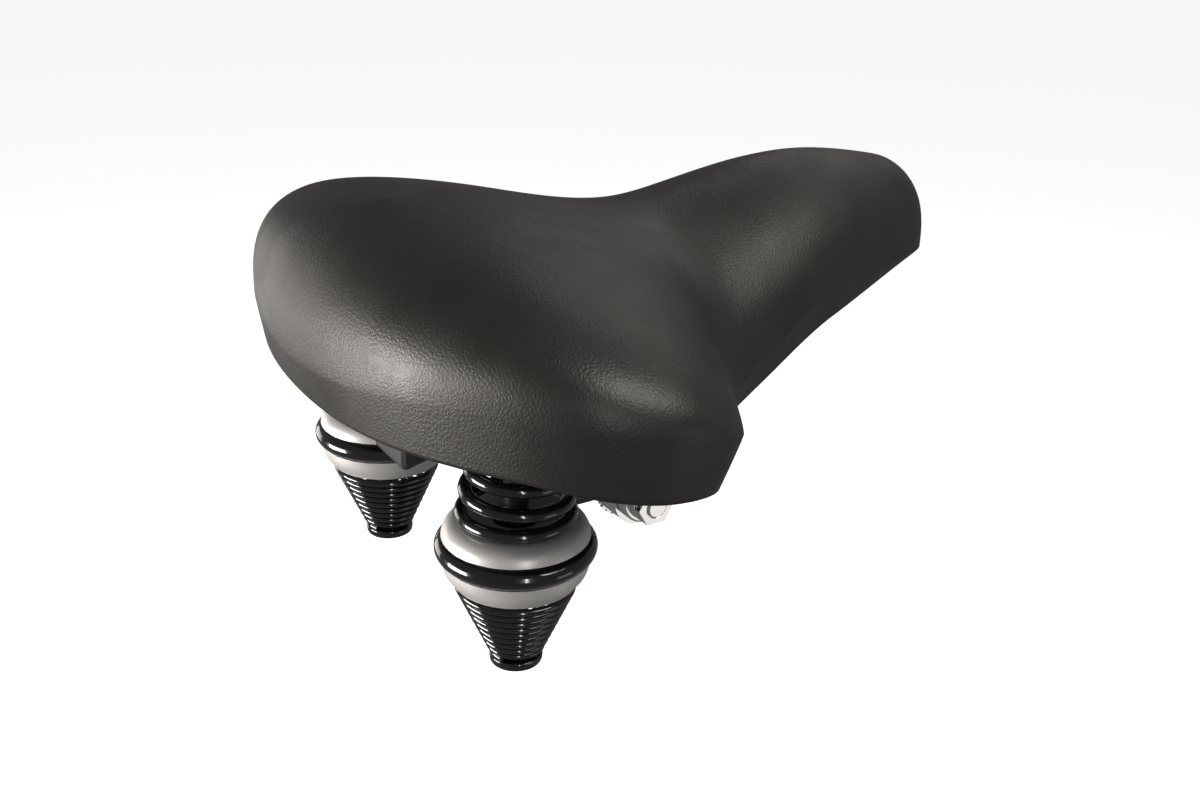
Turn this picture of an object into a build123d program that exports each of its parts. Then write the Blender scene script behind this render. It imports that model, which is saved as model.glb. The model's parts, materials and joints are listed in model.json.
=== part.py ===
from build123d import *
import math
import os

# Sprung comfort saddle, millimetres.  +Y points to the nose, +X to the rider's right, +Z up.
# The origin is the centre of the collar's bore, where the seat post goes.

# ---- seat post collar and clamp ----
post_bore_r = 11.1            # bore for a 22.2 mm seat post
collar_wall = 3.4
collar_h = 22.0
bolt_y = -26.0                # cross bolt behind the post, at the bore's mid height
bolt_r = 4.0                  # M8
bolt_fit = 0.08               # running clearance of the bolt in the ears
ear_r = 11.0
ear_half = 7.5                # half the width over the two ears
slit_half = 1.5
part_gap = 0.3                # air between pieces that move on each other

# ---- rails ----
rail_r = 3.5                  # 7 mm steel wire
rail_x = 19.5                 # half the distance between the rails at the clamp
rail_z = 7.5
rail_rear_y = -60.0           # the rail turns outwards to its spring unit here
rail_front_y = 3.0            # and up towards the nose here
rail_top = (17.0, 20.0, 46.0)  # where it leans forward to the pivot
rail_bend_r = 10.0
groove_fit = 0.1
disc_r = 12.0
plate_r = 10.5                # the outer plate hangs off centre, higher than the bolt
plate_lift = 2.0
jaw_half_len = 12.0
jaw_top = 12.4
disc_outer_x = rail_x - 0.2
plate_inner_x = rail_x + 0.2
plate_outer_x = 24.0
washer_t = 1.0
washer_r = 7.5
nut_af = 13.0                 # M8 nut across flats
nut_h = 6.5
thin_nut_h = 4.5              # the clamp bolt has thin nuts
bolt_end = 0.8                # bolt standing out of its nuts

# ---- spring units ----
unit_x = 50.0                 # the two units stand this far either side of the middle
unit_y = -94.5
eye_z = 11.0                  # middle of the rail's flattened eye
eye_t = 4.0
eye_outer_r = 13.0
eye_hole_r = 10.0
rod_r = 4.0
rod_way_r = 7.7               # bush bore: room for the rod to swing as the saddle dips
ring_z = 14.9
ring_path_r = 22.2
ring_tube_r = 3.5
shell_t = 1.6
shell_r = 23.5                # widest radius of both pressed shells
upper_seat_z = 24.0           # top of the upper shell, where the upper spring sits
lower_floor_z = 3.2           # underside of the lower shell, where the cone spring hangs
upper_wire_r = 2.25
upper_turns = 4
upper_low_r = 17.2            # coil radius at the bottom turn
upper_high_r = 12.3           # coil radius at the top turn
cone_wire_r = 1.15
cone_pitch = 2.6
cone_top_r = 19.0
cone_low_r = 7.5
cone_low_z = -23.4
plug_r = 8.7
plug_h = 2.4

# ---- base and its underside ----
bridge_z = 54.5               # underside of the steel bridge plate
bridge_t = 2.5
base_z = bridge_z + bridge_t  # underside of the plastic base at the rear
base_t = 3.2
base_nose_z = 79.0            # the same at the nose
rim_width = 6.5               # the base's underside starts this far inside the cover
skin_t = 1.5

# ---- nose pivot ----
pivot_y = 64.0
pivot_z = 67.0
pin_r = 3.0
pin_fit = 0.05
sleeve_r = 5.5
sleeve_half = 10.0
lug_inner = 10.4
lug_t = 2.4
pin_half = 15.2
nose_rail_x = 5.5

# Stations along the saddle: y, half width, height of the widest line, crown height,
# half width at the hem, height of the hem.
stations = [
    (-145.0, 20.0, 75.0, 87.0, 17.0, 61.0),
    (-138.0, 55.0, 77.0, 102.0, 50.0, 59.0),
    (-126.0, 81.0, 79.0, 112.0, 78.0, 59.0),
    (-108.0, 104.0, 78.5, 116.0, 101.0, 57.5),
    (-82.0, 115.0, 77.0, 113.0, 111.0, 52.0),
    (-58.0, 110.0, 75.5, 106.5, 103.0, 47.0),
    (-42.0, 90.0, 75.0, 103.0, 80.0, 42.5),
    (-24.0, 66.5, 75.5, 102.0, 58.0, 40.0),
    (-4.0, 54.0, 76.0, 105.5, 47.0, 42.5),
    (24.0, 43.5, 77.0, 112.0, 37.0, 51.5),
    (54.0, 34.5, 77.0, 115.5, 28.0, 59.5),
    (82.0, 25.5, 76.0, 112.0, 18.5, 64.0),
    (102.0, 17.5, 75.5, 104.5, 9.5, 67.5),
    (113.0, 8.0, 75.0, 93.0, 3.0, 72.0),
]


def save(part, name):
    """Label a finished piece and write its STEP file."""
    part.label = name
    export_step(part, f"parts/{name}.step")


def ceiling(y):
    """Height of the base's underside at a station: level at the rear, rising to the nose."""
    rise_start = -60.0
    rise_end = 40.0
    t = min(max((y - rise_start) / (rise_end - rise_start), 0.0), 1.0)
    return base_z + t * (base_nose_z - base_z)


def body_section(y, half, edge, crown, hem_half, hem, inset, drop):
    """One closed cross-section of the padded body, drawn on a plane facing +Y."""
    a = half - inset
    low = hem - drop
    b = max(hem_half - inset - (half - hem_half) * drop / (edge - hem), 0.8)
    top = crown - inset
    with BuildSketch(Plane.XZ.offset(-y)) as sketch:
        with BuildLine():
            Spline((a, edge), (0.72 * a, edge + 0.73 * (top - edge)), (0, top),
                   (-0.72 * a, edge + 0.73 * (top - edge)), (-a, edge),
                   tangents=[(-0.25, 1), (-0.25, -1)])
            Polyline((-a, edge), (-b, low), (b, low), (a, edge))
        make_face()
    return sketch.sketch


def hollow_section(y, half, edge, crown, hem_half, hem, grow, drop):
    """One cross-section of the space under the base, grown by the base's thickness."""
    a = max(hem_half - rim_width, 2.0) + grow
    top = ceiling(y) + grow
    corner = 3.0
    with BuildSketch(Plane.XZ.offset(-y)) as sketch:
        with BuildLine():
            Polyline((-a, hem - drop), (a, hem - drop), (a, top - corner), (a - corner, top),
                     (-a + corner, top), (-a, top - corner), (-a, hem - drop))
        make_face()
    return sketch.sketch


def lofted(section, inset, drop, rows, end_trim=0.0):
    """Loft a solid through the given stations, its two ends pulled in by end_trim."""
    with BuildPart() as solid:
        for index, (y, *shape) in enumerate(rows):
            if index == 0:
                y += end_trim
            if index == len(rows) - 1:
                y -= end_trim
            add(section(y, *shape, inset, drop))
        loft(ruled=True)
    return solid.part


os.makedirs("parts", exist_ok=True)
skin_open = 3.0               # the pad's form runs this far below the hem, so the skin is open
below = 40.0
hollow_rows = stations[1:-2]
outer_form = lofted(body_section, 0.0, 0.0, stations)
foam_form = lofted(body_section, skin_t, skin_open, stations, skin_t)
base_form = lofted(hollow_section, base_t, below, hollow_rows)
hollow_form = lofted(hollow_section, 0.0, below, hollow_rows, base_t)

# ---- cover: the thin skin over the whole pad ----
with BuildPart() as cover:
    add(outer_form)
    add(foam_form, mode=Mode.SUBTRACT)
save(cover.part, "cover")

# ---- base shell: moulded plastic, open for the rods and the screws ----
screw_xs = (-24.0, 24.0)      # bridge screws, between the spring units
screw_r = 1.8
with BuildPart() as base_shell:
    add(base_form)
    add(hollow_form, mode=Mode.SUBTRACT)
    add(outer_form, mode=Mode.INTERSECT)
    add(foam_form, mode=Mode.INTERSECT)
    with Locations(*[(side * unit_x, unit_y, base_z) for side in (-1, 1)]):
        Cylinder(rod_r + part_gap, 4 * base_t, mode=Mode.SUBTRACT)
    with Locations(*[(x, unit_y, base_z) for x in screw_xs]):
        Cylinder(screw_r, 4 * base_t, mode=Mode.SUBTRACT)
save(base_shell.part, "base_shell")

# ---- foam pad: everything between the cover and the base, with a pocket over each rod nut ----
pocket_r = 10.0
pocket_top = base_z + base_t + 9.0
with BuildPart() as foam_pad:
    add(foam_form)
    add(outer_form, mode=Mode.INTERSECT)
    add(base_form, mode=Mode.SUBTRACT)
    for side in (-1, 1):
        with BuildSketch(Plane.XY.offset(base_z)):
            with Locations((side * unit_x, unit_y)):
                Circle(pocket_r)
        extrude(amount=pocket_top - base_z, mode=Mode.SUBTRACT)
save(foam_pad.part, "foam_pad")

# ---- rear bridge: pressed steel strip that carries the springs and the clip ----
bridge_half = 69.0
bridge_depth = 30.0
with BuildPart() as rear_bridge_plate:
    with BuildSketch(Plane.XY.offset(bridge_z)):
        with Locations((0, unit_y)):
            RectangleRounded(2 * bridge_half, bridge_depth, 12)
        with Locations(*[(side * unit_x, unit_y) for side in (-1, 1)]):
            Circle(rod_r + part_gap, mode=Mode.SUBTRACT)
        with Locations(*[(x, unit_y) for x in screw_xs]):
            Circle(screw_r, mode=Mode.SUBTRACT)
    extrude(amount=bridge_t)
    fillet(rear_bridge_plate.edges().group_by(Axis.Z)[-1], 0.6)
save(rear_bridge_plate.part, "rear_bridge_plate")

with BuildPart() as bridge_screws:
    for x in screw_xs:
        with BuildSketch(Plane.XY.offset(bridge_z - 2.4)):
            with Locations((x, unit_y)):
                Circle(4.0)
        extrude(amount=2.4)
        with BuildSketch(Plane.XY.offset(bridge_z)):
            with Locations((x, unit_y)):
                Circle(screw_r)
        extrude(amount=bridge_t + base_t)
        with BuildSketch(Plane.XY.offset(bridge_z - 2.4)):
            with Locations((x, unit_y)):
                Rectangle(5.0, 1.0)
                Rectangle(1.0, 5.0)
        extrude(amount=1.2, mode=Mode.SUBTRACT)
save(bridge_screws.part, "bridge_screws")

# ---- accessory clip: receiver under the rear, its slot open to the back ----
clip_half = 11.5
clip_rear_y = -115.0
clip_front_y = -84.0
clip_low_z = 27.0
clip_slot = (15.0, 24.0, 7.0)
clip_slot_z = 37.0
with BuildPart() as accessory_clip:
    with BuildSketch(Plane.YZ.offset(-clip_half)):
        with BuildLine():
            Polyline((clip_rear_y, bridge_z), (clip_rear_y, clip_low_z),
                     (clip_front_y, clip_low_z + 8.0), (clip_front_y, bridge_z),
                     (clip_rear_y, bridge_z))
        make_face()
    extrude(amount=2 * clip_half)
    fillet(accessory_clip.edges().filter_by(Axis.X).group_by(Axis.Z)[0], 2.0)
    chamfer(accessory_clip.edges().filter_by(Axis.Z), 1.2)
    with Locations((0, clip_rear_y + clip_slot[1] / 2 - 0.5, clip_slot_z + 3.0)):
        Box(*clip_slot, mode=Mode.SUBTRACT)
    with Locations((0, unit_y - 6.0, clip_slot_z + 12.0)):
        Box(2 * clip_half + 2, 9.0, 6.0, mode=Mode.SUBTRACT)
save(accessory_clip.part, "accessory_clip")

# ---- nose bracket: base plate and two lugs with the pivot pin through them ----
bracket_top = base_nose_z - 1.2
lug_r = 5.5
rivet_ys = (-6.0, 6.0)
with BuildPart() as nose_bracket:
    for side in (-1, 1):
        with BuildSketch(Plane.YZ.offset(side * (lug_inner + lug_t / 2) - lug_t / 2)):
            with Locations((pivot_y, pivot_z)):
                Circle(lug_r)
            with Locations((pivot_y, (pivot_z + bracket_top) / 2)):
                Rectangle(2 * lug_r, bracket_top - pivot_z)
            with Locations((pivot_y, pivot_z)):
                Circle(pin_r, mode=Mode.SUBTRACT)
        extrude(amount=lug_t)
    with BuildSketch(Plane.XY.offset(bracket_top - lug_t)):
        with Locations((0, pivot_y)):
            RectangleRounded(2 * (lug_inner + lug_t), 20.0, 4)
        with Locations(*[(0, pivot_y + dy) for dy in rivet_ys]):
            Circle(2.0, mode=Mode.SUBTRACT)
    extrude(amount=lug_t)
save(nose_bracket.part, "nose_bracket")

with BuildPart() as nose_rivets:
    for dy in rivet_ys:
        with BuildSketch(Plane.XY.offset(bracket_top - lug_t - 1.6)):
            with Locations((0, pivot_y + dy)):
                Circle(3.8)
        extrude(amount=1.6)
        with BuildSketch(Plane.XY.offset(bracket_top - lug_t)):
            with Locations((0, pivot_y + dy)):
                Circle(2.0)
        extrude(amount=lug_t)
save(nose_rivets.part, "nose_rivets")

with BuildPart() as nose_pivot_pin:
    with BuildSketch(Plane.YZ.offset(-pin_half)):
        with Locations((pivot_y, pivot_z)):
            Circle(pin_r)
    extrude(amount=2 * pin_half)
    chamfer(nose_pivot_pin.edges().filter_by(GeomType.CIRCLE), 0.4)
save(nose_pivot_pin.part, "nose_pivot_pin")

with BuildPart() as pivot_circlips:
    for side in (-1, 1):
        with BuildSketch(Plane.YZ.offset(side * (lug_inner + lug_t + 0.7) - 0.5)):
            with Locations((pivot_y, pivot_z)):
                Circle(pin_r + 1.4)
                Circle(pin_r, mode=Mode.SUBTRACT)
            with Locations((pivot_y - pin_r - 0.5, pivot_z)):
                Rectangle(3.0, 1.6, mode=Mode.SUBTRACT)
        extrude(amount=1.0)
save(pivot_circlips.part, "pivot_circlips")

with BuildPart() as nose_sleeve:
    with BuildSketch(Plane.YZ.offset(-sleeve_half)):
        with Locations((pivot_y, pivot_z)):
            Circle(sleeve_r)
            Circle(pin_r + pin_fit, mode=Mode.SUBTRACT)
    extrude(amount=2 * sleeve_half)
save(nose_sleeve.part, "nose_sleeve")

# ---- the two rails and the two spring units ----
eye_entry = eye_hole_r + 1.0  # the wire runs into the eye this far from its centre
wire_run = 33.0               # long enough to cut through a whole unit, or the whole clamp
for side, hand in ((-1, "left"), (1, "right")):
    centre = (side * unit_x, unit_y)
    bend = (side * rail_x, rail_rear_y, rail_z)
    reach = math.hypot(unit_x - rail_x, unit_y - bend[1])
    start = (side * (unit_x - (unit_x - rail_x) * eye_entry / reach),
             unit_y + (bend[1] - unit_y) * eye_entry / reach, eye_z)
    with BuildPart() as rail:
        with BuildLine() as route:
            FilletPolyline(start, bend, (side * rail_x, rail_front_y, rail_z),
                           (side * rail_top[0], rail_top[1], rail_top[2]),
                           (side * nose_rail_x, pivot_y - 4.0, pivot_z - 4.0), radius=rail_bend_r)
        with BuildSketch(Plane(origin=route.line @ 0, z_dir=route.line % 0)):
            Circle(rail_r)
        sweep()
        with BuildSketch(Plane.XY.offset(eye_z - eye_t / 2)):
            with Locations(centre):
                Circle(eye_outer_r)
        extrude(amount=eye_t)
        with BuildSketch(Plane.XY.offset(eye_z - rail_r)):
            with Locations(centre):
                Circle(eye_hole_r)
        extrude(amount=2 * rail_r, mode=Mode.SUBTRACT)
        with BuildSketch(Plane.YZ.offset(-unit_x)):
            with Locations((pivot_y, pivot_z)):
                Circle(sleeve_r)
        extrude(amount=2 * unit_x, mode=Mode.SUBTRACT)
    save(rail.part, f"rail_{hand}")

    # Everything in a unit is turned about its own upright axis, drawn on a plane through it.
    turn = Axis((*centre, 0), (0, 0, 1))
    half_plane = Plane(origin=(*centre, 0), x_dir=(1, 0, 0), z_dir=(0, -1, 0))

    # Pressed upper shell: level spring seat, rounded shoulder, straight rim.
    rim_z = ring_z + ring_tube_r + 0.4
    under_z = upper_seat_z - shell_t
    with BuildPart() as housing_upper:
        with BuildSketch(half_plane):
            with BuildLine():
                Line((rod_way_r, upper_seat_z), (17.5, upper_seat_z))
                Spline((17.5, upper_seat_z), (21.8, 22.5), (shell_r, rim_z),
                       tangents=[(1, 0), (0.1, -1)])
                Line((shell_r, rim_z), (shell_r - shell_t, rim_z))
                Spline((shell_r - shell_t, rim_z), (20.5, 21.3), (17.0, under_z),
                       tangents=[(-0.1, 1), (-1, 0)])
                Polyline((17.0, under_z), (rod_way_r, under_z), (rod_way_r, upper_seat_z))
            make_face()
        revolve(axis=turn)
    save(housing_upper.part, f"housing_upper_{hand}")

    # Pressed lower shell: a bowl that narrows to the cone spring, with a gap for the rail.
    lip_z = ring_z - ring_tube_r - 0.2
    floor_r = 20.2
    floor_top = lower_floor_z + shell_t
    wire_way = rail_r + part_gap
    with BuildPart() as housing_lower:
        with BuildSketch(half_plane):
            with BuildLine():
                Line((rod_way_r, lower_floor_z), (floor_r, lower_floor_z))
                Spline((floor_r, lower_floor_z), (22.6, 6.6), (shell_r, lip_z),
                       tangents=[(0.6, 1), (0.1, 1)])
                Line((shell_r, lip_z), (shell_r - shell_t, lip_z))
                Spline((shell_r - shell_t, lip_z), (21.0, 7.1), (floor_r - shell_t, floor_top),
                       tangents=[(-0.1, -1), (-0.6, -1)])
                Polyline((floor_r - shell_t, floor_top), (rod_way_r, floor_top),
                         (rod_way_r, lower_floor_z))
            make_face()
        revolve(axis=turn)
        with BuildSketch(Plane(origin=start, z_dir=route.line % 0)):
            Circle(wire_way)
        extrude(amount=wire_run, mode=Mode.SUBTRACT)
    save(housing_lower.part, f"housing_lower_{hand}")

    # Rubber band between the two shells.
    with BuildPart() as equator_ring:
        with BuildSketch(half_plane):
            with Locations((ring_path_r, ring_z)):
                Circle(ring_tube_r)
        revolve(axis=turn)
        with BuildSketch(Plane(origin=start, z_dir=route.line % 0)):
            Circle(wire_way)
        extrude(amount=wire_run, mode=Mode.SUBTRACT)
    save(equator_ring.part, f"equator_ring_{hand}")

    # Rubber bush: fills the housing above and below the eye and lines the rod's way through.
    bush_wall = 1.9
    with BuildPart() as eye_bush:
        with BuildSketch(half_plane):
            with BuildLine():
                Polyline((rod_way_r, floor_top), (eye_outer_r, floor_top),
                         (eye_outer_r, eye_z - eye_t / 2), (rod_way_r + bush_wall, eye_z - eye_t / 2),
                         (rod_way_r + bush_wall, eye_z + eye_t / 2), (eye_outer_r, eye_z + eye_t / 2),
                         (eye_outer_r, under_z), (rod_way_r, under_z), (rod_way_r, floor_top))
            make_face()
        revolve(axis=turn)
        with BuildSketch(Plane(origin=start, z_dir=route.line % 0)):
            Circle(wire_way)
        extrude(amount=wire_run, both=True, mode=Mode.SUBTRACT)
    save(eye_bush.part, f"eye_bush_{hand}")

    # Compression spring between the base and the housing, wider at the bottom.
    low_z = upper_seat_z + upper_wire_r + 0.1
    high_z = bridge_z - 2.6 - upper_wire_r
    lean = math.degrees(math.atan2(upper_low_r - upper_high_r, high_z - low_z))
    with BuildPart() as upper_spring:
        with BuildLine() as coil:
            Helix((high_z - low_z) / upper_turns, high_z - low_z, upper_low_r,
                  center=(*centre, low_z), cone_angle=-lean)
        with BuildSketch(Plane(origin=coil.line @ 0, z_dir=coil.line % 0)):
            Circle(upper_wire_r)
        sweep(is_frenet=True)
    save(upper_spring.part, f"upper_spring_{hand}")

    # Cone spring below the housing: close-wound, pulled longer by the rod as the saddle dips.
    hang_z = lower_floor_z - cone_wire_r - 0.1
    taper = math.degrees(math.atan2(cone_top_r - cone_low_r, hang_z - cone_low_z))
    with BuildPart() as cone_spring:
        with BuildLine() as coil:
            Helix(cone_pitch, hang_z - cone_low_z, cone_low_r,
                  center=(*centre, cone_low_z), cone_angle=taper)
        with BuildSketch(Plane(origin=coil.line @ 0, z_dir=coil.line % 0)):
            Circle(cone_wire_r)
        sweep(is_frenet=True)
    save(cone_spring.part, f"cone_spring_{hand}")

    # Cup that seats the upper spring against the bridge plate.
    cup_low_z = bridge_z - 2.4
    cup_r = 17.0
    spigot_r = 9.5                # stands down inside the top turn
    spigot_low_z = cup_low_z - 3.0
    rod_way = rod_r + part_gap
    with BuildPart() as spring_cup:
        with BuildSketch(half_plane):
            with BuildLine():
                Polyline((rod_way, bridge_z), (cup_r, bridge_z), (cup_r, cup_low_z),
                         (spigot_r, cup_low_z), (spigot_r, spigot_low_z), (rod_way, spigot_low_z),
                         (rod_way, bridge_z))
            make_face()
        revolve(axis=turn)
    save(spring_cup.part, f"spring_cup_{hand}")

    # Rod from the base down to the plug, with its nut above the base.
    plug_top = cone_low_z - cone_wire_r - part_gap
    plug_low = plug_top - plug_h
    nut_z = base_z + base_t
    with BuildPart() as tension_rod:
        with BuildSketch(Plane.XY.offset(plug_low + 1.0)):
            with Locations(centre):
                Circle(rod_r)
        extrude(amount=nut_z + nut_h + 1.0 - plug_low - 1.0)
        chamfer(tension_rod.edges().filter_by(GeomType.CIRCLE), 0.5)
    save(tension_rod.part, f"tension_rod_{hand}")

    with BuildPart() as rod_nut:
        with BuildSketch(Plane.XY.offset(nut_z)):
            with Locations(centre):
                RegularPolygon(nut_af / 2, 6, major_radius=False)
                Circle(rod_r, mode=Mode.SUBTRACT)
        extrude(amount=nut_h)
    save(rod_nut.part, f"rod_nut_{hand}")

    # Plug: rounded black nose under the last coil, its stem up inside the coil.
    stem_r = 5.6
    with BuildPart() as nose_plug:
        with BuildSketch(half_plane):
            with BuildLine():
                Polyline((rod_r, plug_low + 1.0), (rod_r, plug_top + 6.0), (stem_r, plug_top + 6.0),
                         (stem_r, plug_top), (plug_r - 0.6, plug_top))
                Spline((plug_r - 0.6, plug_top), (plug_r, plug_top - 1.0), (0.0, plug_low),
                       tangents=[(1, 0), (-1, 0)])
                Polyline((0.0, plug_low), (0.0, plug_low + 1.0), (rod_r, plug_low + 1.0))
            make_face()
        revolve(axis=turn)
    save(nose_plug.part, f"nose_plug_{hand}")

# ---- collar: split ring round the post, its two ears drawn together by the bolt ----
with BuildPart() as post_collar:
    with BuildSketch(Plane.XY.offset(-collar_h / 2)):
        Circle(post_bore_r + collar_wall)
        with Locations((0, bolt_y / 2)):
            Rectangle(2 * ear_half, -bolt_y)
    extrude(amount=collar_h)
    with BuildSketch(Plane.YZ.offset(-ear_half)):
        with Locations((bolt_y, 0)):
            Circle(ear_r)
    extrude(amount=2 * ear_half)
    with BuildSketch(Plane.XY.offset(-collar_h)):
        Circle(post_bore_r)
        with Locations((0, bolt_y - post_bore_r / 2)):
            Rectangle(2 * slit_half, -2 * bolt_y)
    extrude(amount=2 * collar_h, mode=Mode.SUBTRACT)
    with BuildSketch(Plane.YZ.offset(-2 * ear_half)):
        with Locations((bolt_y, 0)):
            Circle(bolt_r + bolt_fit)
    extrude(amount=4 * ear_half, mode=Mode.SUBTRACT)
save(post_collar.part, "post_collar")

# ---- clamp head: studded bolt, serrated inner discs, outer plates, washers and nuts ----
disc_inner_x = ear_half + part_gap
washer_x = plate_outer_x + 0.05
nut_x = washer_x + washer_t + 0.05
bolt_half = nut_x + thin_nut_h + bolt_end
disc_foot = 1.6               # serrated foot against the ear


def side_plane(side, distance):
    """A plane facing outwards on one side of the clamp, its centre on the bolt's axis."""
    return Plane(origin=(side * distance, bolt_y, 0), x_dir=(0, side, 0), z_dir=(side, 0, 0))


teeth = 24
for side, hand in ((-1, "left"), (1, "right")):
    with BuildPart() as inner_disc:
        with BuildSketch(side_plane(side, disc_inner_x)):
            Circle(disc_r)
        extrude(amount=disc_foot)
        with BuildSketch(side_plane(side, disc_inner_x)):
            with PolarLocations(disc_r, teeth):
                RectangleRounded(1.2, 1.2, 0.3)
        extrude(amount=disc_foot, mode=Mode.SUBTRACT)
        with BuildSketch(side_plane(side, disc_inner_x + disc_foot)):
            Circle(disc_r - 1.0)
            with Locations((0, jaw_top / 2)):
                Rectangle(2 * jaw_half_len - 2, jaw_top)
        extrude(amount=disc_outer_x - disc_inner_x - disc_foot)
        with BuildSketch(side_plane(side, 0)):
            Circle(bolt_r)
        extrude(amount=wire_run, mode=Mode.SUBTRACT)
        with BuildSketch(Plane.XZ.offset(-bolt_y - 2 * jaw_half_len)):
            with Locations((side * rail_x, rail_z)):
                Circle(rail_r + groove_fit)
        extrude(amount=4 * jaw_half_len, mode=Mode.SUBTRACT)
    save(inner_disc.part, f"inner_disc_{hand}")

    with BuildPart() as outer_plate:
        with BuildSketch(side_plane(side, plate_inner_x)):
            with Locations((0, plate_lift)):
                Circle(plate_r)
            Circle(bolt_r, mode=Mode.SUBTRACT)
        extrude(amount=plate_outer_x - plate_inner_x)
        with BuildSketch(Plane.XZ.offset(-bolt_y - 2 * jaw_half_len)):
            with Locations((side * rail_x, rail_z)):
                Circle(rail_r + groove_fit)
        extrude(amount=4 * jaw_half_len, mode=Mode.SUBTRACT)
        outside = Axis((0, 0, 0), (side, 0, 0))
        chamfer(outer_plate.faces().sort_by(outside)[-1].outer_wire().edges(), 0.8)
    save(outer_plate.part, f"outer_plate_{hand}")

    with BuildPart() as washer:
        with BuildSketch(side_plane(side, washer_x)):
            Circle(washer_r)
            Circle(bolt_r, mode=Mode.SUBTRACT)
        extrude(amount=washer_t)
    save(washer.part, f"washer_{hand}")

    with BuildPart() as clamp_nut:
        with BuildSketch(side_plane(side, nut_x)):
            RegularPolygon(nut_af / 2, 6, major_radius=False)
            Circle(bolt_r, mode=Mode.SUBTRACT)
        extrude(amount=thin_nut_h)
        chamfer(clamp_nut.edges().filter_by(GeomType.CIRCLE), 0.4)
    save(clamp_nut.part, f"clamp_nut_{hand}")

with BuildPart() as clamp_bolt:
    with BuildSketch(side_plane(-1, -bolt_half)):
        Circle(bolt_r)
    extrude(amount=2 * bolt_half)
    chamfer(clamp_bolt.edges().filter_by(GeomType.CIRCLE), 0.6)
save(clamp_bolt.part, "clamp_bolt")
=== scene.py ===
# %% [markdown]
# # A sprung comfort saddle
#
# The saddle's steel and plastic parts come ready made as a fixed frame: rails, shells, clamp,
# rods and pins, each at its real size. This lesson adds what the frame can't hold: the padded
# vinyl cover, the foam, the moulded base, the spring coils, and every finish.

# %% Load the frame
import json
import math

import bmesh
import bpy
import numpy as np
from mathutils import Matrix, Vector


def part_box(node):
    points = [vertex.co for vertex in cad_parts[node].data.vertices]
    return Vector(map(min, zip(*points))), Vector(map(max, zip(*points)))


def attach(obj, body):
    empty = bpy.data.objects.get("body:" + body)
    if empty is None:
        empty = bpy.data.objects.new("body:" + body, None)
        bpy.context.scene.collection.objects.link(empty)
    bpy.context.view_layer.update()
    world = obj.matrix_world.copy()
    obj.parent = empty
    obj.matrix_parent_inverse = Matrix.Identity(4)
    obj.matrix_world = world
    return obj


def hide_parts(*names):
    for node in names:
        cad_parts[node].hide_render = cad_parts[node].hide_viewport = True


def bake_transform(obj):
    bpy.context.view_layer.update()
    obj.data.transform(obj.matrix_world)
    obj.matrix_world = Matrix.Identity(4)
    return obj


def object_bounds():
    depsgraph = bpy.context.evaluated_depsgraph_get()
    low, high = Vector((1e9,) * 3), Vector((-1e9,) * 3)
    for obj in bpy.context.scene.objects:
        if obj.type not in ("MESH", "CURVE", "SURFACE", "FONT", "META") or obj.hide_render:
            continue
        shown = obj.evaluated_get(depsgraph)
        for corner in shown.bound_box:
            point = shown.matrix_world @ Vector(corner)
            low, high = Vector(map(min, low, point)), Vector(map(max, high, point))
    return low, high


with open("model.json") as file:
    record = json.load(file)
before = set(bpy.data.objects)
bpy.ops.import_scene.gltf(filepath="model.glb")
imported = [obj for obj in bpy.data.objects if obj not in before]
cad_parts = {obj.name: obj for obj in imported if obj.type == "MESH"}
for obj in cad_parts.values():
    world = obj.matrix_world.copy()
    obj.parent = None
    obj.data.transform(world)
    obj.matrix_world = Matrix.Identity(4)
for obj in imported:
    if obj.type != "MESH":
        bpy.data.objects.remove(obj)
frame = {"nodes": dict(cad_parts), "record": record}
cad_low, cad_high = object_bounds()
mm = 0.001
sides = ("left", "right")

# %% [markdown]
# ## Camera
#
# A camera can be placed by hand, but a product view is easier to talk about as an orbit: how
# far round, how high, how far away and what it looks at. The small roll is the tilt of a
# camera held by hand. The lens is a normal one, a little wide, used close.

# %% Place the camera
azimuth, elevation, roll = math.radians(57.0), math.radians(23.1), math.radians(1.6)
distance = 0.4776
target = Vector((-5.5, -28.6, 29.0)) * mm
back = Vector((math.sin(azimuth) * math.cos(elevation),
               -math.cos(azimuth) * math.cos(elevation), math.sin(elevation)))
camera = bpy.data.objects.new("camera", bpy.data.cameras.new("camera"))
bpy.context.collection.objects.link(camera)
aim = back.to_track_quat("Z", "Y").to_matrix().to_4x4()
camera.matrix_world = Matrix.Translation(target + back * distance) @ aim @ Matrix.Rotation(roll, 4, "Z")
camera.data.lens = 39.0
camera.data.sensor_width = 36.0
camera.data.clip_start = 0.01
bpy.context.scene.camera = camera
print("camera at", [round(v, 3) for v in camera.matrix_world.translation])

# %% [markdown]
# ## Room
#
# Black vinyl shows its shape by what it reflects, so the lamps matter more than the room. A
# soft box behind draws the broad highlight on the rear face and a weaker one at the left
# carries it round. One over the right shoulder picks out the wing, one beyond the nose shows
# the crown, and a narrow strip draws thin lines on the coils. A weak card low beyond the nose
# gives the chrome clamp something pale to mirror. All are a little warm.
#
# The floor is plain and pale and lies well below, because a saddle hangs on its post. It glows
# a little by itself, so that it stays pale, and it is kept out of the reflections.

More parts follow.
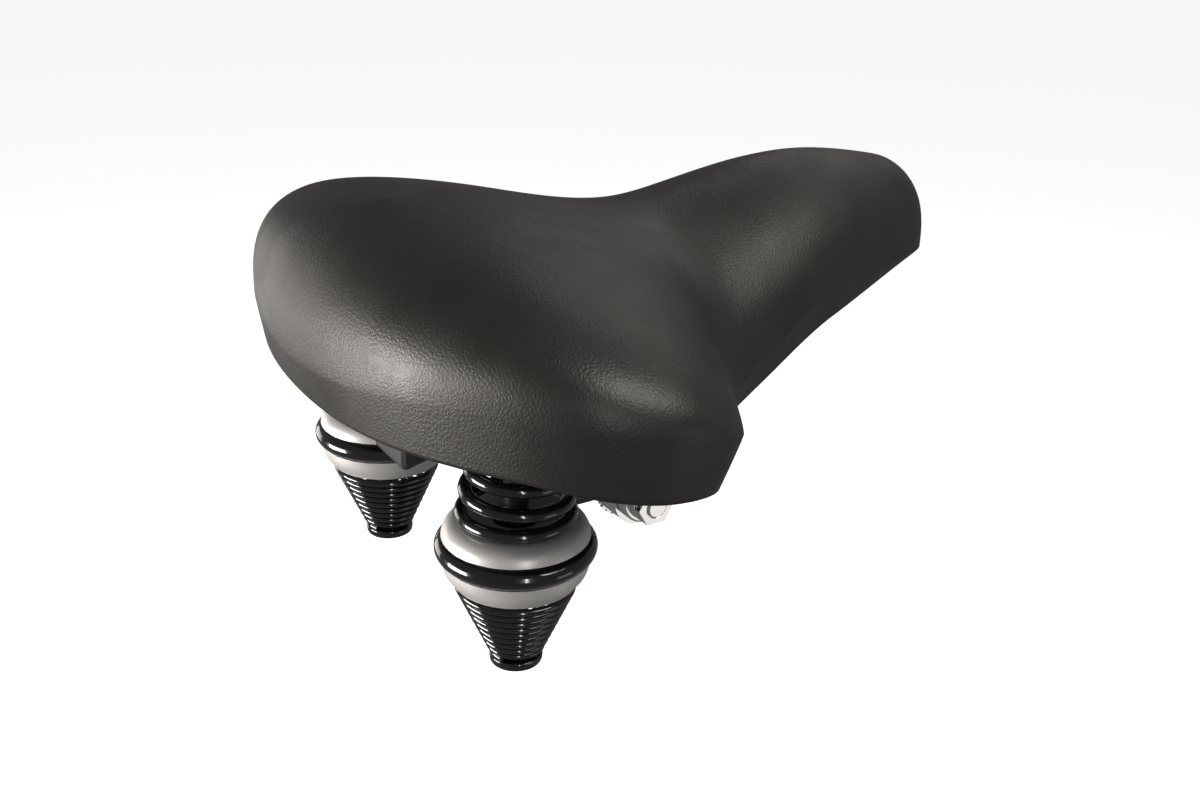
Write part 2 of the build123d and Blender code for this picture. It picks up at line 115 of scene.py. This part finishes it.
# %% Floor and background
floor_drop = 0.30
floor_mesh = bpy.data.meshes.new("floor")
reach = 6.0
floor_mesh.from_pydata([(-reach, -reach, 0), (reach, -reach, 0), (reach, reach, 0),
                        (-reach, reach, 0)], [], [(0, 1, 2, 3)])
floor = bpy.data.objects.new("floor", floor_mesh)
floor.location.z = cad_low.z - floor_drop
bpy.context.collection.objects.link(floor)
floor_paint = bpy.data.materials.new("floor_paint")
floor_paint.use_nodes = True
paint = floor_paint.node_tree.nodes["Principled BSDF"]
paint.inputs["Base Color"].default_value = (0.93, 0.93, 0.93, 1)
paint.inputs["Roughness"].default_value = 0.9
paint.inputs["Emission Color"].default_value = (1, 1, 1, 1)
paint.inputs["Emission Strength"].default_value = 0.78
floor_mesh.materials.append(floor_paint)
floor.visible_glossy = False
floor.visible_diffuse = False

world = bpy.data.worlds.new("room")
world.use_nodes = True
bpy.context.scene.world = world
room = world.node_tree.nodes["Background"]
room.inputs["Color"].default_value = (1.0, 1.0, 1.0, 1)
room.inputs["Strength"].default_value = 0.15
far = world.node_tree.nodes.new("ShaderNodeBackground")
far.inputs["Strength"].default_value = 1.0
pick = world.node_tree.nodes.new("ShaderNodeMixShader")
path = world.node_tree.nodes.new("ShaderNodeLightPath")
wires = world.node_tree.links
wires.new(path.outputs["Is Camera Ray"], pick.inputs["Fac"])
wires.new(room.outputs["Background"], pick.inputs[1])
wires.new(far.outputs["Background"], pick.inputs[2])
wires.new(pick.outputs["Shader"], world.node_tree.nodes["World Output"].inputs["Surface"])
bpy.context.scene.view_settings.view_transform = "Standard"
print("floor at", round(floor.location.z, 3))


# %% Lamps
lamp_colour = (1.0, 0.955, 0.90)


def soft_box(name, direction, away, width, height, watts):
    """A rectangular lamp that looks at the saddle from the given direction."""
    lamp = bpy.data.lights.new(name, "AREA")
    lamp.shape = "RECTANGLE"
    lamp.size = width
    lamp.size_y = height
    lamp.energy = watts
    lamp.color = lamp_colour
    holder = bpy.data.objects.new(name, lamp)
    bpy.context.collection.objects.link(holder)
    toward = Vector(direction).normalized()
    holder.location = target + toward * away
    holder.rotation_euler = toward.to_track_quat("Z", "Y").to_euler()
    return holder


lamps = [
    soft_box("rear_box", (-0.30, -0.94, -0.10), 1.0, 0.55, 0.38, 15),
    soft_box("left_box", (-0.92, -0.38, -0.05), 1.0, 0.45, 0.5, 1.6),
    soft_box("shoulder_box", (0.62, 0.28, 0.73), 1.1, 0.55, 0.5, 8.5),
    soft_box("crown_box", (-0.40, 0.70, 0.60), 1.4, 1.0, 0.6, 1.8),
    soft_box("right_strip", (0.93, -0.30, 0.10), 1.1, 0.07, 0.7, 2.2),
    soft_box("clamp_card", (0.77, 0.50, -0.39), 1.0, 0.4, 0.4, 0.42),
]
print("lamps:", [lamp.name for lamp in lamps])

# %% [markdown]
# ## Helpers for finishes
#
# Every finish is a Principled shader with one thing added: how the surface varies. The even
# values sit on the shader's own sockets. What varies, such as grain, is noise that is turned
# into colour, roughness and bump.


# %% A finish and its variation
def finish(name, colour, rough, metal=0.0, coat=0.0, coat_rough=0.1, specular=0.5):
    """A material with its even values set, and its nodes ready for more."""
    material = bpy.data.materials.new(name)
    material.use_nodes = True
    shader = material.node_tree.nodes["Principled BSDF"]
    shader.inputs["Base Color"].default_value = (*colour, 1)
    shader.inputs["Roughness"].default_value = rough
    shader.inputs["Metallic"].default_value = metal
    shader.inputs["Coat Weight"].default_value = coat
    shader.inputs["Coat Roughness"].default_value = coat_rough
    shader.inputs["Specular IOR Level"].default_value = specular
    return material


def noise(material, scale, detail=3.0, stretch=(1, 1, 1)):
    """Noise in the piece's own space; scale is in waves per metre."""
    nodes, links = material.node_tree.nodes, material.node_tree.links
    where = nodes.new("ShaderNodeTexCoord")
    mapping = nodes.new("ShaderNodeMapping")
    mapping.inputs["Scale"].default_value = stretch
    links.new(where.outputs["Object"], mapping.inputs["Vector"])
    texture = nodes.new("ShaderNodeTexNoise")
    texture.inputs["Scale"].default_value = scale
    texture.inputs["Detail"].default_value = detail
    links.new(mapping.outputs["Vector"], texture.inputs["Vector"])
    return texture.outputs["Fac"]


def vary_colour(material, factor, dark, light):
    """Run the base colour between two near shades."""
    nodes, links = material.node_tree.nodes, material.node_tree.links
    ramp = nodes.new("ShaderNodeValToRGB")
    ramp.color_ramp.elements[0].position = 0.3
    ramp.color_ramp.elements[0].color = (*dark, 1)
    ramp.color_ramp.elements[1].position = 0.7
    ramp.color_ramp.elements[1].color = (*light, 1)
    links.new(factor, ramp.inputs["Fac"])
    links.new(ramp.outputs["Color"], nodes["Principled BSDF"].inputs["Base Color"])


def vary_roughness(material, factor, low, high):
    """Run the roughness between two values."""
    nodes, links = material.node_tree.nodes, material.node_tree.links
    spread = nodes.new("ShaderNodeMapRange")
    spread.inputs["From Min"].default_value = 0.3
    spread.inputs["From Max"].default_value = 0.7
    spread.inputs["To Min"].default_value = low
    spread.inputs["To Max"].default_value = high
    links.new(factor, spread.inputs["Value"])
    links.new(spread.outputs["Result"], nodes["Principled BSDF"].inputs["Roughness"])


def bump(material, factor, height, strength=1.0):
    """Add a relief of that height, in metres, on top of any relief already there."""
    nodes, links = material.node_tree.nodes, material.node_tree.links
    relief = nodes.new("ShaderNodeBump")
    relief.inputs["Distance"].default_value = height
    relief.inputs["Strength"].default_value = strength
    links.new(factor, relief.inputs["Height"])
    target_socket = nodes["Principled BSDF"].inputs["Normal"]
    if target_socket.is_linked:
        links.new(target_socket.links[0].from_socket, relief.inputs["Normal"])
    links.new(relief.outputs["Normal"], target_socket)


print("finish helpers ready")

# %% [markdown]
# ## Vinyl
#
# The cover is black vinyl pressed with a fine leather grain: small pebbles with thin creases
# between them. Image textures would need seams and a layout; a Voronoi pattern's distance to
# its nearest edge gives the same creases in three dimensions, so it wraps the whole form.


# %% Vinyl finish
def make_vinyl():
    material = finish("vinyl", (0.015, 0.0134, 0.0118), 0.46)
    nodes, links = material.node_tree.nodes, material.node_tree.links
    where = nodes.new("ShaderNodeTexCoord")
    warp = nodes.new("ShaderNodeTexNoise")
    warp.inputs["Scale"].default_value = 260.0
    links.new(where.outputs["Object"], warp.inputs["Vector"])
    push = nodes.new("ShaderNodeVectorMath")
    push.operation = "MULTIPLY_ADD"
    push.inputs[1].default_value = (0.0011, 0.0011, 0.0011)
    links.new(warp.outputs["Color"], push.inputs[0])
    links.new(where.outputs["Object"], push.inputs[2])
    pebbles = nodes.new("ShaderNodeTexVoronoi")
    pebbles.feature = "DISTANCE_TO_EDGE"
    pebbles.inputs["Scale"].default_value = 780.0
    links.new(push.outputs["Vector"], pebbles.inputs["Vector"])
    crease = nodes.new("ShaderNodeMapRange")
    crease.interpolation_type = "SMOOTHSTEP"
    crease.inputs["From Max"].default_value = 0.30
    links.new(pebbles.outputs["Distance"], crease.inputs["Value"])
    bump(material, crease.outputs["Result"], 0.00011, 0.36)
    bump(material, noise(material, 1500.0, 2.0), 0.00005, 0.35)
    bump(material, noise(material, 30.0, 2.0), 0.0008, 0.16)
    dark_vinyl, pale_vinyl = (0.0125, 0.0111, 0.0098), (0.0178, 0.0158, 0.0140)
    vary_colour(material, noise(material, 22.0, 4.0), dark_vinyl, pale_vinyl)
    vary_roughness(material, noise(material, 60.0, 4.0), 0.41, 0.53)
    return material


vinyl = make_vinyl()
print("vinyl:", len(vinyl.node_tree.nodes), "nodes")

# %% [markdown]
# ## Metal, plastic and rubber
#
# The spring wire and the band are dipped in gloss black, with a skin that levels out, so they
# get a clear coat over a dark base. The pressed shells wear a satin silver lacquer: metal
# flakes under a soft coat. Chrome is nearly a mirror, spoiled by faint haze and scratches.


# %% Hard finishes
def make_gloss_black():
    material = finish("gloss_black", (0.006, 0.006, 0.006), 0.16, coat=0.8, coat_rough=0.04)
    vary_roughness(material, noise(material, 420.0), 0.11, 0.21)
    bump(material, noise(material, 900.0, 2.0), 0.00003, 0.3)
    return material


def make_silver():
    material = finish("silver_lacquer", (0.62, 0.61, 0.60), 0.36, metal=0.45, coat=0.12, coat_rough=0.3)
    vary_colour(material, noise(material, 2600.0, 1.0), (0.58, 0.57, 0.56), (0.68, 0.67, 0.66))
    vary_roughness(material, noise(material, 120.0, 4.0), 0.38, 0.48)
    bump(material, noise(material, 2600.0, 1.0), 0.00002, 0.3)
    return material


def make_chrome():
    material = finish("chrome", (0.83, 0.83, 0.84), 0.07, metal=1.0)
    vary_roughness(material, noise(material, 160.0, 5.0), 0.04, 0.13)
    bump(material, noise(material, 300.0, 2.0), 0.00001, 0.15)
    return material


def make_powder_coat():
    material = finish("powder_coat", (0.013, 0.013, 0.013), 0.33, coat=0.15, coat_rough=0.3)
    vary_roughness(material, noise(material, 90.0, 4.0), 0.28, 0.42)
    bump(material, noise(material, 1400.0, 2.0), 0.00006, 0.5)
    return material


def make_moulded():
    material = finish("moulded_plastic", (0.020, 0.020, 0.021), 0.5)
    vary_colour(material, noise(material, 45.0, 4.0), (0.017, 0.017, 0.018), (0.026, 0.026, 0.027))
    vary_roughness(material, noise(material, 70.0, 4.0), 0.42, 0.58)
    bump(material, noise(material, 2200.0, 2.0), 0.00008, 0.5)
    return material


def make_rubber():
    material = finish("soft_rubber", (0.016, 0.016, 0.016), 0.62)
    vary_roughness(material, noise(material, 150.0, 4.0), 0.55, 0.72)
    bump(material, noise(material, 1100.0, 3.0), 0.00008, 0.5)
    return material


def make_zinc():
    material = finish("zinc_plate", (0.56, 0.56, 0.54), 0.32, metal=1.0)
    vary_colour(material, noise(material, 130.0, 5.0), (0.48, 0.48, 0.46), (0.64, 0.64, 0.61))
    vary_roughness(material, noise(material, 300.0, 5.0), 0.24, 0.42)
    bump(material, noise(material, 900.0, 3.0), 0.00003, 0.5)
    return material


def make_foam():
    material = finish("foam", (0.075, 0.075, 0.078), 0.95, specular=0.2)
    vary_colour(material, noise(material, 700.0, 3.0), (0.055, 0.055, 0.058), (0.10, 0.10, 0.103))
    bump(material, noise(material, 900.0, 4.0), 0.0004, 0.8)
    return material


gloss_black, silver, chrome = make_gloss_black(), make_silver(), make_chrome()
powder_coat, moulded, rubber = make_powder_coat(), make_moulded(), make_rubber()
zinc, foam_finish = make_zinc(), make_foam()
print("finishes:", [m.name for m in (gloss_black, silver, chrome, powder_coat, moulded, rubber, zinc)])

# %% [markdown]
# ## Curves through a few points
#
# A saddle is described by a few sections and lines: its outline from above, the height of its
# crown, of its widest line and of its hem. Two kinds of curve join such points. A cubic spline
# is the smoothest. A gentle curve never overshoots, which is right for a hem line.


# %% Two kinds of curve
def smooth_curve(knots, values, where, level_ends=False):
    """A cubic spline through the values, with level or straight ends."""
    knots, values = np.asarray(knots, float), np.asarray(values, float)
    gaps = np.diff(knots)
    rise = np.diff(values) / gaps
    count = len(knots)
    matrix, right_side = np.zeros((count, count)), np.zeros(count)
    matrix[0, 0] = matrix[-1, -1] = 1
    if level_ends:
        matrix[0, :2] = 2 * gaps[0], gaps[0]
        matrix[-1, -2:] = gaps[-1], 2 * gaps[-1]
        right_side[0], right_side[-1] = 6 * rise[0], -6 * rise[-1]
    for i in range(1, count - 1):
        matrix[i, i - 1:i + 2] = gaps[i - 1], 2 * (gaps[i - 1] + gaps[i]), gaps[i]
        right_side[i] = 6 * (rise[i] - rise[i - 1])
    bend = np.linalg.solve(matrix, right_side)
    i = np.clip(np.searchsorted(knots, where) - 1, 0, count - 2)
    after, before, gap = where - knots[i], knots[i + 1] - where, gaps[i]
    return ((bend[i] * before ** 3 + bend[i + 1] * after ** 3) / (6 * gap)
            + (values[i] / gap - bend[i] * gap / 6) * before
            + (values[i + 1] / gap - bend[i + 1] * gap / 6) * after)


def gentle_curve(knots, values, where):
    """A curve through the values that never overshoots and is level at both ends."""
    knots, values = np.asarray(knots, float), np.asarray(values, float)
    rise = np.diff(values) / np.diff(knots)
    slope = np.zeros(len(knots))
    for i in range(1, len(knots) - 1):
        if rise[i - 1] * rise[i] > 0:
            slope[i] = 2 * rise[i - 1] * rise[i] / (rise[i - 1] + rise[i])
    i = np.clip(np.searchsorted(knots, where) - 1, 0, len(knots) - 2)
    gap = knots[i + 1] - knots[i]
    t = (where - knots[i]) / gap
    return (values[i] * (1 + 2 * t) * (1 - t) ** 2 + values[i + 1] * t * t * (3 - 2 * t)
            + gap * t * (1 - t) * (slope[i] * (1 - t) - slope[i + 1] * t))


print("curve through 0, 1, 0 at the middle:", smooth_curve([0, 1, 2], [0, 1, 0], np.array([1.0])))

# %% [markdown]
# ## The saddle's form
#
# The form is drawn like ribs round a keel. The keel is a short line along the crown. From each
# point of it a rib runs out to the widest line, and then down the skirt to the hem. One half
# is drawn, and the other is its mirror image, so the saddle is true left and right.

# %% Lines that shape the saddle
# Outline from above, from the middle of the rear round the right side to the nose (mm).
outline = np.array([(0, -146), (52.5, -139), (88, -122), (109.5, -101), (111, -59), (69.4, -28),
                    (47.5, 12), (33.5, 57), (22.8, 89.5), (13, 108), (0, 114.6)])
# Along the outline from rear (0) to nose (1): heights of the widest line and the hem (mm).
widest_at = [0, 0.25, 0.37, 0.44, 0.51, 0.60, 0.68, 0.78, 1]
widest_height = [70.5, 78.9, 75.5, 67, 59, 56, 63, 76, 74]
hem_at, hem_height = [0, 0.25, 0.4, 0.6, 0.8, 1], [56, 59, 50, 40.3, 58.7, 68.5]
tuck_at, tuck = [0, 0.25, 0.5, 0.75, 1], [3.8, 1.5, 6.3, 6.1, 7.5]
# The keel along the crown, and its height (mm).
keel_rear, keel_nose = -110.6, 85.0
crown_at = np.linspace(keel_rear - 1, keel_nose + 1, 6)
crown_height = [115.7, 111.4, 104.4, 109.2, 115.2, 110.3]
rib_spread, skirt_bulge = 1.11, 1.11
# How a rib falls from crown to edge: a low number is a full shoulder, as on the wing, and a
# high one a hollow, as in the waist between wing and nose.
rib_fall_at, rib_fall = [0, 0.28, 0.38, 0.47, 0.57, 0.72, 1], [0.74, 0.74, 0.96, 1.40, 1.36, 0.90, 0.74]
ribs = 150

places = np.linspace(0, 1, ribs)
walked = np.r_[0, np.cumsum(np.hypot(*np.diff(outline, axis=0).T))]
edge_x = smooth_curve(walked / walked[-1], outline[:, 0], places)
edge_y = smooth_curve(walked / walked[-1], outline[:, 1], places, level_ends=True)
edge_z = gentle_curve(widest_at, widest_height, places)
hem_z = gentle_curve(hem_at, hem_height, places)
hem_in = gentle_curve(tuck_at, tuck, places)
along = (edge_y - edge_y.min()) / (edge_y.max() - edge_y.min())
keel_y = keel_rear + (keel_nose - keel_rear) * along
keel_z = smooth_curve(crown_at, crown_height, keel_y)
fall = gentle_curve(rib_fall_at, rib_fall, places)
outward = np.stack([np.gradient(edge_y), -np.gradient(edge_x)], 1)
outward /= np.linalg.norm(outward, axis=1)[:, None]
outward[0], outward[-1] = (0, -1), (0, 1)
print("saddle", round(2 * edge_x.max()), "mm wide and", round(np.ptp(edge_y)), "mm long")


# %% Rows of points over the form
def crown_rows(inset, steps):
    """Rows from the keel out to the widest line, drawn in by inset."""
    rows = []
    for angle in np.linspace(0, math.pi / 2, steps):
        out, up = math.sin(angle) ** rib_spread, abs(math.cos(angle)) ** fall
        x = (edge_x - inset * outward[:, 0]) * out
        y = keel_y + (edge_y - inset * outward[:, 1] - keel_y) * out
        z = edge_z + (keel_z - inset - edge_z) * up
        rows.append(np.stack([x, y, z], 1))
    return rows


def pulled_in(pull, height):
    """A row that follows the outline, pulled in by that much, and never past the middle."""
    x = np.maximum(edge_x - outward[:, 0] * pull, 0.0)
    return np.stack([x, edge_y - outward[:, 1] * pull, height], 1)


def side_point(down, inset):
    """A row at a share of the way down the skirt, drawn in by inset."""
    return pulled_in(inset + hem_in * down ** skirt_bulge, edge_z + (hem_z - edge_z) * down)


def both_sides(rows):
    """Mirror rows of the right side into closed rows round the whole saddle."""
    return [np.concatenate([row, (row * (-1, 1, 1))[-2:0:-1]]) for row in rows]


def skin(name, rows, material):
    """Join rows of points into one smooth mesh, and close what meets along the keel."""
    count = len(rows[0])
    points = np.concatenate(rows) * mm
    faces = [(r * count + c, (r + 1) * count + c, (r + 1) * count + (c + 1) % count,
              r * count + (c + 1) % count) for r in range(len(rows) - 1) for c in range(count)]
    mesh = bpy.data.meshes.new(name)
    mesh.from_pydata(points.tolist(), [], faces)
    work = bmesh.new()
    work.from_mesh(mesh)
    bmesh.ops.remove_doubles(work, verts=work.verts, dist=0.00002)
    bmesh.ops.recalc_face_normals(work, faces=work.faces)
    for face in work.faces:
        face.smooth = True
    work.to_mesh(mesh)
    work.free()
    piece = bpy.data.objects.new(name, mesh)
    bpy.context.collection.objects.link(piece)
    mesh.materials.append(material)
    return piece


print("row helpers ready")

# %% [markdown]
# ## Cover
#
# The cover is one sheet of vinyl, moulded in one piece over the foam, so it has no seams on
# top. It rolls round the rim of the base and is stapled underneath, which gives the hem its
# soft round edge. Its rows run over the crown, down the skirt, round the roll and back up
# inside, and then home again one skin's thickness further in, so it is a real sheet.

# %% Model the cover
skin_thickness = 1.4
roll_radius = 2.4
turn_up = 5.0            # the vinyl runs this far up inside, past the roll
skirt_end = 0.95         # the share of the skirt that is drawn before the roll takes over


def roll_rows(inset):
    """Rows round the rolled hem and a little way up inside it."""
    rows = []
    inner = roll_radius - inset
    for angle in np.linspace(0.25, 1.0, 7) * math.pi:
        pull = hem_in + roll_radius - inner * math.cos(angle)
        rows.append(pulled_in(pull, hem_z + roll_radius - inner * math.sin(angle)))
    top = rows[-1] + (0, 0, turn_up)
    return rows + [top]


def skirt_rows(inset, steps):
    """Rows down the skirt to just above the rolled hem."""
    return [side_point(share, inset) for share in np.linspace(0, skirt_end, steps)[1:]]


outer_rows = crown_rows(0.0, 44) + skirt_rows(0.0, 18) + roll_rows(0.0)
inner_rows = crown_rows(skin_thickness, 30) + skirt_rows(skin_thickness, 12) + roll_rows(skin_thickness)
cover = skin("vinyl_cover", both_sides(outer_rows + inner_rows[::-1]), vinyl)
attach(cover, "seat")
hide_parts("cover")
print("cover:", len(cover.data.polygons), "faces")

# %% [markdown]
# ## Foam and base
#
# Under the cover lies a thick block of moulded foam, and under that a stiff plastic base. The
# underside of the base is a shallow dish that rises to the nose, with a turned-down rim. Both
# follow the same ribs as the cover, drawn further in.

# %% Model the base
rim_in = 4.0             # the base's rim stands this far inside the hem
rim_up = 1.2             # and this far above it
dish_corner = 6.0        # radius between the dish's wall and its ceiling
base_thickness = 3.2
bracket_gap = 1.2        # between the nose bracket and the base
rise_start, rise_length = -60.0, 100.0
base_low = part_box("rear_bridge_plate")[1].z / mm
base_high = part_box("nose_bracket")[1].z / mm + bracket_gap
rise = np.clip((keel_y - rise_start) / rise_length, 0, 1)
ceiling = base_low + rise * rise * (3 - 2 * rise) * (base_high - base_low)


def dish_rows(grow):
    """Rows from the rim of the base up its wall and across its ceiling to the keel."""
    rim = hem_in + rim_in + base_thickness - grow
    top = ceiling + grow
    foot = hem_z + rim_up
    lift = np.maximum(top - foot - dish_corner, 0.5)
    rows = [pulled_in(rim, foot + lift * share) for share in (0, 0.35, 0.7, 1)]
    for angle in np.linspace(0, math.pi / 2, 6)[1:]:
        height = foot + lift + (top - foot - lift) * math.sin(angle)
        rows.append(pulled_in(rim + dish_corner * (1 - math.cos(angle)), height))
    last = rows[-1]
    middle = np.stack([0 * keel_y, np.clip(keel_y, last[0, 1] + 4, last[-1, 1] - 4), top], 1)
    for share in (0.75, 0.5, 0.25, 0.0):
        rows.append(middle + (last - middle) * share)
    return rows


base = skin("base_dish", both_sides(dish_rows(0.0)[::-1] + dish_rows(base_thickness)), moulded)
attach(base, "seat")
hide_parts("base_shell")
print("base:", len(base.data.polygons), "faces")

# %% Model the foam
foam_gap = 0.4
foam_inset = skin_thickness + foam_gap
foam_side = [side_point(share, foam_inset) for share in (0.2, 0.4, 0.6, 0.8, 0.9)]
foam_top = crown_rows(foam_inset, 24) + foam_side
foam_low = dish_rows(base_thickness + foam_gap)
foam = skin("foam_block", both_sides(foam_top + foam_low[1:]), foam_finish)
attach(foam, "seat")
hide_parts("foam_pad")
print("foam:", len(foam.data.polygons), "faces")

# %% [markdown]
# ## Springs
#
# Each unit has two springs on one rod. The upper one is open, and is squeezed between the base
# and the housing; its end turns lie nearly flat, so that it stands square on its seats. The
# cone below is wound almost coil on coil, and is pulled longer. A spring bends as the saddle
# dips.


# %% Wind a wire
def wire(name, points, radius, material):
    """A round wire along the points, as a mesh with closed ends."""
    curve = bpy.data.curves.new(name, "CURVE")
    curve.dimensions = "3D"
    curve.bevel_depth = radius
    curve.bevel_resolution = 5
    curve.use_fill_caps = True
    spline = curve.splines.new("POLY")
    spline.points.add(len(points) - 1)
    for knot, place in zip(spline.points, points):
        knot.co = (*place, 1)
    holder = bpy.data.objects.new(name, curve)
    bpy.context.collection.objects.link(holder)
    evaluated = holder.evaluated_get(bpy.context.evaluated_depsgraph_get())
    mesh = bpy.data.meshes.new_from_object(evaluated)
    bpy.data.objects.remove(holder)
    mesh.name = name
    mesh.materials.clear()
    mesh.materials.append(material)
    for face in mesh.polygons:
        face.use_smooth = True
    piece = bpy.data.objects.new(name, mesh)
    bpy.context.collection.objects.link(piece)
    return piece


def coil(centre, heights, radii, turns, hand, start=0.0, steps=56):
    """Points of a coil through evenly spaced heights and radii; hand is 1 or -1."""
    angle = np.linspace(0, turns, int(turns * steps))
    at = np.linspace(0, turns, len(heights))
    z = gentle_curve(at, heights, angle) if len(heights) > 2 else np.interp(angle, at, heights)
    r = np.interp(angle, at, radii)
    turn = start + angle * 2 * math.pi * hand
    return np.stack([centre[0] + r * np.cos(turn), centre[1] + r * np.sin(turn), z], 1)


print("spring helpers ready")

# %% Wind the four springs
upper_wire, cone_wire = 2.25 * mm, 1.15 * mm
cup_high, plug_high = 2.4 * mm, 2.4 * mm
rest_gap = 0.2 * mm      # between the last coil of the cone and the plug
upper_turns, cone_turns = 4, 9.5
upper_start, cone_start = math.radians(70), math.radians(120)
cone_radii = [19.0 * mm, 7.5 * mm]
# The upper spring's rise and radius at each half turn (mm).
upper_rise = [0.0, 0.3, 4.7, 8.2, 12.0, 15.6, 19.0, 23.2, 23.6]
upper_radii = [17.2, 17.1, 16.5, 15.8, 15.0, 14.2, 13.4, 12.5, 12.3]
for side in sides:
    rod_low, rod_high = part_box(f"tension_rod_{side}")
    axis_x, axis_y = (rod_low.x + rod_high.x) / 2, (rod_low.y + rod_high.y) / 2
    seat_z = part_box(f"housing_upper_{side}")[1].z
    cup_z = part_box("rear_bridge_plate")[0].z - cup_high
    hang_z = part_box(f"housing_lower_{side}")[0].z
    plug_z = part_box(f"nose_plug_{side}")[0].z + plug_high
    first, last = seat_z + upper_wire, cup_z - upper_wire
    heights = [first + (last - first) * rise / upper_rise[-1] for rise in upper_rise]
    radii = [radius * mm for radius in upper_radii]
    points = coil((axis_x, axis_y), heights, radii, upper_turns, -1, start=upper_start)
    upper = wire(f"upper_coil_{side}", points, upper_wire, gloss_black)
    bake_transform(upper)
    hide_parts(f"upper_spring_{side}")
    heights = [hang_z - cone_wire, plug_z + cone_wire + rest_gap]
    points = coil((axis_x, axis_y), heights, cone_radii, cone_turns, 1, start=cone_start)
    cone = wire(f"cone_coil_{side}", points, cone_wire, gloss_black)
    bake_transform(cone)
    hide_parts(f"cone_spring_{side}")
print("four springs wound")

# %% [markdown]
# ## Finishes for the frame's own parts
#
# These parts keep their shape. A part from a drawing has edges sharper than any real one, so
# the shader's bevel would round them; here the parts are small and their edges are already
# broken, so a finish is all they need.

# %% Dress the frame's parts
finish_of_slot = {
    "base_plastic": moulded, "clip_plastic": moulded, "cup_plastic": moulded,
    "black_steel": powder_coat, "rail_black": powder_coat, "spring_black": gloss_black,
    "band_rubber": gloss_black, "plug_gloss": gloss_black, "silver_shell": silver,
    "bush_rubber": rubber, "chrome": chrome, "zinc_screws": zinc, "foam": foam_finish,
    "cover_vinyl": vinyl,
}
for entry in frame["record"]["subparts"]:
    part = frame["nodes"][entry["node"]]
    part.data.materials.clear()
    part.data.materials.append(finish_of_slot[entry["material_slot"]])
